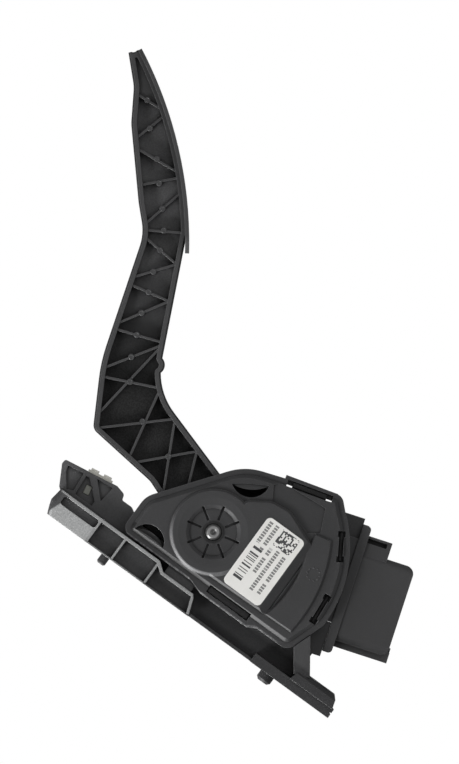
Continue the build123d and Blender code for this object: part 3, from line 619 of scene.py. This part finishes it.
# Painted shade on the step beside the hub, and painted highlights on the rim's edge and on the hub's edge.
cover_painted_shading = [(chamfer_shade, step_black), (rim_painted_highlight, rim_highlight_grey), (hub_painted_highlight, hub_highlight_grey)]
cover_nylon = moulded_nylon("cover_nylon", cover_black, cover_edge, cover_rough, cover_painted_shading)
dress("side_cover", cover_nylon)
dot_sizes = {"Ring radius": 3.2 * mm, "Dot radius": 0.48 * mm, "Dot height": 0.4}
dot_count = 10
dot_middle = (-54.0 * mm, -22.5 * mm, 36.9 * mm)
dot_tree, dot = geometry_tree("mould_dots", dot_sizes)
dot_line = dot["Points"].add("GeometryNodeMeshCircle", None,
                             {"Vertices": dot_count, "Radius": dot["Ring radius"]})
bead = dot_line.add("GeometryNodeMeshIcoSphere", None, {"Radius": dot["Dot radius"], "Subdivisions": 2})
flatter = dot_line.add("ShaderNodeCombineXYZ", None, {"X": 1.0, "Y": 1.0, "Z": dot["Dot height"]})
beads = dot_line.add("GeometryNodeInstanceOnPoints", None,
                     {"Points": dot_line, "Instance": bead, "Scale": flatter})
upright = dot_line.add("GeometryNodeTransform", None, {"Geometry": beads, "Rotation": (pi / 2, 0.0, 0.0)})
placed = dot_line.add("GeometryNodeInstanceOnPoints", None, {"Points": dot["Points"], "Instance": upright})
end_tree(dot_tree, placed, cover_nylon)
dots = grown_piece("mould_dots", dot_tree, dot_sizes, [dot_middle])
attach(dots, "housing")


# Label: a white film stuck on the cover's raised field. Its print is a plain pattern only:
# a row of bars, a speckled square and rows of dashes that spell nothing.
film_shade = (0.61, 0.605, 0.58)
film_white = (0.71, 0.705, 0.685)
print_black = (0.035, 0.035, 0.037)
bar_field = (16.0 * mm, 34.5 * mm, 2.6 * mm, 7.6 * mm)
bar_width = 0.46 * mm
square_field = (1.2 * mm, 10.6 * mm, 9.8 * mm, 20.0 * mm)
square_cell = 0.78 * mm
dash_rows = [
    (1.6 * mm, 14.0 * mm, 2.0 * mm), (1.6 * mm, 16.4 * mm, 5.6 * mm), (12.4 * mm, 27.0 * mm, 9.4 * mm),
    (11.8 * mm, 35.6 * mm, 13.2 * mm), (12.2 * mm, 34.6 * mm, 17.4 * mm),
]
dash_height = 2.0 * mm
dash_pitch = 1.5 * mm
print_soft = 0.06 * mm
bar_share = (0.49, 0.51)
speck_share = (0.47, 0.49)
dash_share = (0.12, 0.14)
dash_ends = (0.16, 0.80)
row_shift = 37.0
strokes_along = 2.7
strokes_up = 1.3
stroke_edge = (0.30, 0.42)


def printed_film():
    material, shader, here = new_material("label_film")
    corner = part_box("label")[0]
    along = here.axis("X") - corner[0]
    up = here.axis("Z") - corner[2]

    def field(left, right, low, high):
        return along.between(left, right, print_soft) * up.between(low, high, print_soft)

    def chance(value, dimensions):
        kind = {"noise_dimensions": dimensions}
        return here.add("ShaderNodeTexWhiteNoise", kind, {"W" if dimensions == "1D" else "Vector": value})

    bar = here.math("FLOOR", along / bar_width)
    ink = field(*bar_field) * chance(bar, "1D").above(*bar_share)
    column = here.math("FLOOR", along / square_cell)
    row = here.math("FLOOR", up / square_cell)
    cell = here.add("ShaderNodeCombineXYZ", None, {"X": column, "Y": row})
    ink = ink + field(*square_field) * chance(cell, "2D").above(*speck_share)
    for left, right, low in dash_rows:
        step = along / dash_pitch + row_shift * low / mm
        within = here.math("FRACT", step).between(*dash_ends, 0.06)
        kept = chance(here.math("FLOOR", step), "1D").above(*dash_share)
        slant = along / dash_pitch * strokes_along + up / dash_height * strokes_up
        stroke = here.math("FRACT", slant).above(*stroke_edge)
        ink = ink + field(left, right, low, low + dash_height) * within * kept * (0.45 + 0.55 * stroke)
    cloud = here.noise(120.0, 3.0)
    fibre = here.noise(900.0, 2.0)
    film = (0.7 * cloud + 0.3 * fibre).blend(film_shade, film_white)
    feed(shader, "Base Color", here.math("MINIMUM", ink, 1.0).blend(film, print_black))
    feed(shader, "Roughness", 0.44 + 0.12 * cloud)
    return material


dress("label", printed_film())


# Kick-down button: an undyed acetal plunger on a small spring, in an acetal case that
# snaps in the housing's bracket. The arm meets it near full travel and the foot feels it click.
# The case's darker grey is painted shade, since it sits back in the bracket's window.
dress("kickdown_case", natural_acetal("acetal_painted_shade", (0.17, 0.175, 0.15), (0.26, 0.265, 0.235)))
kick_lean = radians(8.9)
kick_inward = Vector((cos(kick_lean), 0.0, sin(kick_lean)))
kick_mouth = Vector((-30.1 * mm, 4.0 * mm, -78.0 * mm))
kick_length = 6.6 * mm
kick_coil = 2.2 * mm
kick_wire = 0.7 * mm
kick_turns = 4.0
kick_foot = kick_mouth + kick_inward * 5.8 * mm
kick_spring = coil_spring("kickdown_spring", kick_coil, kick_wire, kick_turns, kick_foot, kick_inward,
                          kick_length)
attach(kick_spring, "housing")
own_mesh(kick_spring)
dress("kickdown_plunger", white_acetal)


# Studio: a pale floor well below the part, soft lamps, and white behind everything. The main
# light comes from the rail's side, and a low lamp there draws the edges that face it.
floor_height = -0.34
floor_reach = 3.0
floor_grey = (0.86, 0.86, 0.86, 1.0)
floor_rough = 0.8
pure_white = (1.0, 1.0, 1.0, 1.0)
shadow_ring = (0.05, 0.35)
floor_mesh = bpy.data.meshes.new("floor")
floor_mesh.from_pydata(
    [(-floor_reach, -floor_reach, floor_height), (floor_reach, -floor_reach, floor_height),
     (floor_reach, floor_reach, floor_height), (-floor_reach, floor_reach, floor_height)], [], [(0, 1, 2, 3)])
floor = bpy.data.objects.new("floor", floor_mesh)
scene.collection.objects.link(floor)
floor_pale, floor_shader, floor_here = new_material("floor_pale")
floor_shader.inputs["Base Color"].default_value = floor_grey
floor_shader.inputs["Roughness"].default_value = floor_rough
beside = floor_here.axis("X") - view_middle.x
behind = floor_here.axis("Y")
away = (beside * beside + behind * behind).above(*shadow_ring)
by_camera = floor_here.add("ShaderNodeLightPath", out="Is Camera Ray")
white = floor_here.add("ShaderNodeEmission", None, {"Color": pure_white, "Strength": 1.0})
lit = Socket(floor_here.tree, floor_shader.outputs[0])
mixed = floor_here.add("ShaderNodeMixShader", None, {0: away * by_camera, 1: lit, 2: white})
floor_here.tree.links.new(mixed.end, floor_here.tree.nodes["Material Output"].inputs["Surface"])
floor_mesh.materials.append(floor_pale)

ambient = 0.32
gloss = 0.5
world = bpy.data.worlds.new("studio")
scene.world = world
world.use_nodes = True
sky = Socket(world.node_tree)
seen = sky.add("ShaderNodeLightPath", out="Is Camera Ray")
mirrored = sky.add("ShaderNodeLightPath", out="Is Glossy Ray")
background = world.node_tree.nodes["Background"]
background.inputs["Color"].default_value = pure_white
strength = ambient + (1.0 - ambient) * seen + (gloss - ambient) * mirrored
world.node_tree.links.new(strength.end, background.inputs["Strength"])


def lamp(name, place, size, power):
    light = bpy.data.lights.new(name, "AREA")
    light.shape = "DISK"
    light.size = size
    light.energy = power
    stand = bpy.data.objects.new(name, light)
    stand.location = place
    stand.rotation_euler = (view_middle - Vector(place)).to_track_quat("-Z", "Y").to_euler()
    scene.collection.objects.link(stand)


lamp("main_lamp", place=(0.6, -0.8, -0.3), size=0.4, power=6.0)
lamp("fill_lamp", place=(-0.6, -0.9, 0.1), size=0.8, power=2.5)
lamp("edge_lamp", place=(0.75, -0.10, -0.10), size=0.3, power=10.0)
scene.view_settings.view_transform = "Standard"
